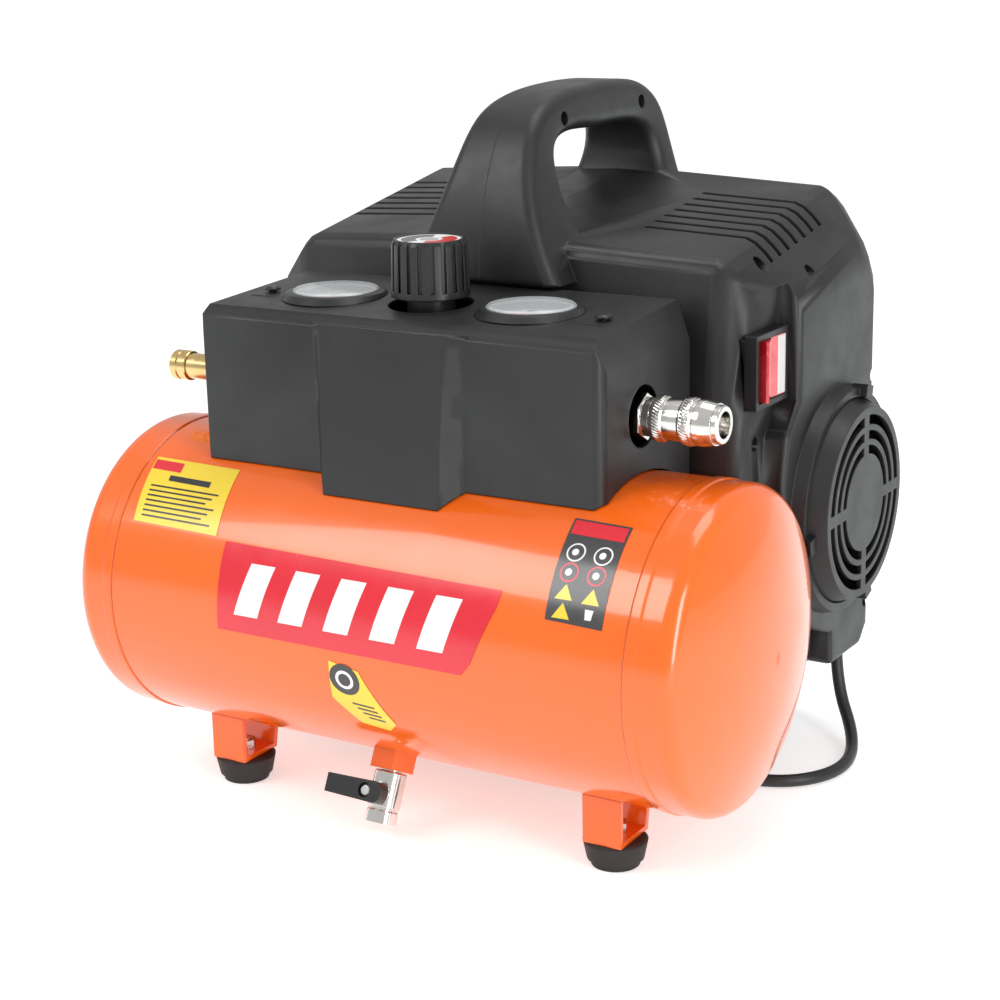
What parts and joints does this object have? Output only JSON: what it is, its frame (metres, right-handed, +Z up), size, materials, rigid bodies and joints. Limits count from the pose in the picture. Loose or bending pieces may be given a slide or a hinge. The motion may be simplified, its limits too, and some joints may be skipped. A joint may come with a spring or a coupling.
{
  "type": "air compressor",
  "caption": "Portable oil-free air compressor: horizontal air tank on feet, console with gauges and regulator knob, hose coupling, housed motor and pump, carrying handle.",
  "frame": {"origin": "centre of the footprint on the floor, under the middle of the whole machine without its lead", "axes": "+X along the tank to the hose coupling and fan end, +Y to the rear where the motor housing is, +Z up"},
  "size_m": [0.363, 0.2907, 0.3469],
  "materials": {
    "tank_paint": "glossy orange powder coat",
    "dark_paint": "satin black paint",
    "foot_rubber": "matt moulded rubber",
    "zinc_steel": "bright zinc plate",
    "nickel": "polished nickel plate",
    "black_plastic": "satin moulded",
    "housing_plastic": "fine-textured dark grey",
    "dial_white": "printed white",
    "needle_red": "satin red",
    "gauge_glass": "clear moulded lens",
    "brass": "machined",
    "cast_aluminium": "as cast",
    "iron": "varnished laminations",
    "copper": "enamelled copper wire",
    "rocker_red": "translucent red",
    "lead_rubber": "satin black jacket"
  },
  "bodies": {
    "base": {"air_manifold": "cast_aluminium", "check_valve": "brass", "console_cover": "housing_plastic", "coupler_body": "nickel", "cover_screws": "black_plastic", "crankcase": "cast_aluminium", "cylinder_head": "cast_aluminium", "delivery_tube": "cast_aluminium", "drain_valve_body": "nickel", "fan_guard": "housing_plastic", "foot_brackets": "tank_paint", "foot_screws": "zinc_steel", "gauge_bezels": "black_plastic", "gauge_cases": "black_plastic", "gauge_dials": "dial_white", "gauge_lenses": "gauge_glass", "housing_left_shell": "housing_plastic", "housing_right_shell": "housing_plastic", "intake_filter": "black_plastic", "lead_coil": "lead_rubber", "lead_plug": "lead_rubber", "lead_strain_relief": "lead_rubber", "lead_tube": "lead_rubber", "motor_bearings": "zinc_steel", "motor_cradle": "dark_paint", "motor_end_bracket": "cast_aluminium", "motor_isolators": "foot_rubber", "motor_stator": "iron", "motor_tray": "dark_paint", "motor_windings": "copper", "pressure_switch": "black_plastic", "pump_cylinder": "cast_aluminium", "rear_brackets": "dark_paint", "regulator_body": "black_plastic", "regulator_spring": "zinc_steel", "rubber_feet": "foot_rubber", "safety_valve_body": "brass", "switch_frame": "black_plastic", "tank_barrel": "tank_paint", "tank_end_left": "tank_paint", "tank_end_right": "tank_paint", "tank_riser": "dark_paint", "valve_plate": "zinc_steel"},
    "rotor": {"motor_shaft": "zinc_steel", "motor_rotor": "iron", "cooling_fan": "black_plastic", "pump_crank": "zinc_steel"},
    "piston": {"pump_piston": "cast_aluminium"},
    "pressure_knob": {"regulator_knob": "black_plastic", "regulator_knob_cap": "dial_white", "regulator_spindle": "zinc_steel"},
    "spring_seat": {"regulator_spring_seat": "zinc_steel"},
    "drain_handle": {"drain_ball": "nickel", "drain_lever": "black_plastic", "drain_lever_screw": "zinc_steel"},
    "coupler_ring": {"coupler_sleeve": "nickel"},
    "relief_cap": {"safety_valve_cap": "brass"},
    "rocker": {"switch_rocker": "rocker_red"},
    "left_needle": {"gauge_needle_left": "needle_red"},
    "right_needle": {"gauge_needle_right": "needle_red"}
  },
  "joints": [
    {"name": "rotor_spin", "type": "hinge", "parent": "base", "child": "rotor", "pos_m": [0, 0.085, 0.1385], "axis": [1, 0, 0], "continuous": true},
    {"name": "piston_stroke", "type": "slide", "parent": "base", "child": "piston", "axis": [0, 0, 1], "range_m": [0, 0.016]},
    {"name": "knob_turn", "type": "hinge", "parent": "base", "child": "pressure_knob", "pos_m": [-0.0022, -0.063, 0.2705], "axis": [0, 0, -1], "range_deg": [0, 720]},
    {"name": "spring_seat_travel", "type": "slide", "parent": "base", "child": "spring_seat", "axis": [0, 0, -1], "range_m": [0, 0.00301], "deforming": ["regulator_spring"]},
    {"name": "drain_lever_turn", "type": "hinge", "parent": "base", "child": "drain_handle", "pos_m": [-0.0045, -0.11226, 0.01963], "axis": [0, -0.891, 0.454], "range_deg": [0, 90]},
    {"name": "coupler_sleeve_pull", "type": "slide", "parent": "base", "child": "coupler_ring", "axis": [-1, 0, 0], "range_m": [0, 0.0035], "stiffness_N_per_m": 800, "springref_m": -0.003},
    {"name": "relief_cap_pull", "type": "slide", "parent": "base", "child": "relief_cap", "axis": [-1, 0, 0], "range_m": [0, 0.002], "stiffness_N_per_m": 1500, "springref_m": -0.002},
    {"name": "rocker_tilt", "type": "hinge", "parent": "base", "child": "rocker", "pos_m": [0.134, 0.015, 0.2195], "axis": [0, 0, -1], "range_deg": [0, 16]},
    {"name": "left_needle_swing", "type": "hinge", "parent": "base", "child": "left_needle", "pos_m": [-0.0574, -0.063, 0.2521], "axis": [0, 0, -1], "range_deg": [0, 270], "stiffness_Nm_per_rad": 0.0002},
    {"name": "right_needle_swing", "type": "hinge", "parent": "base", "child": "right_needle", "pos_m": [0.053, -0.063, 0.2521], "axis": [0, 0, -1], "range_deg": [0, 270], "stiffness_Nm_per_rad": 0.0002}
  ],
  "couplings": [
    {"joint": "spring_seat_travel", "follows": "knob_turn", "m_per_rad": 0.00023873}
  ]
}
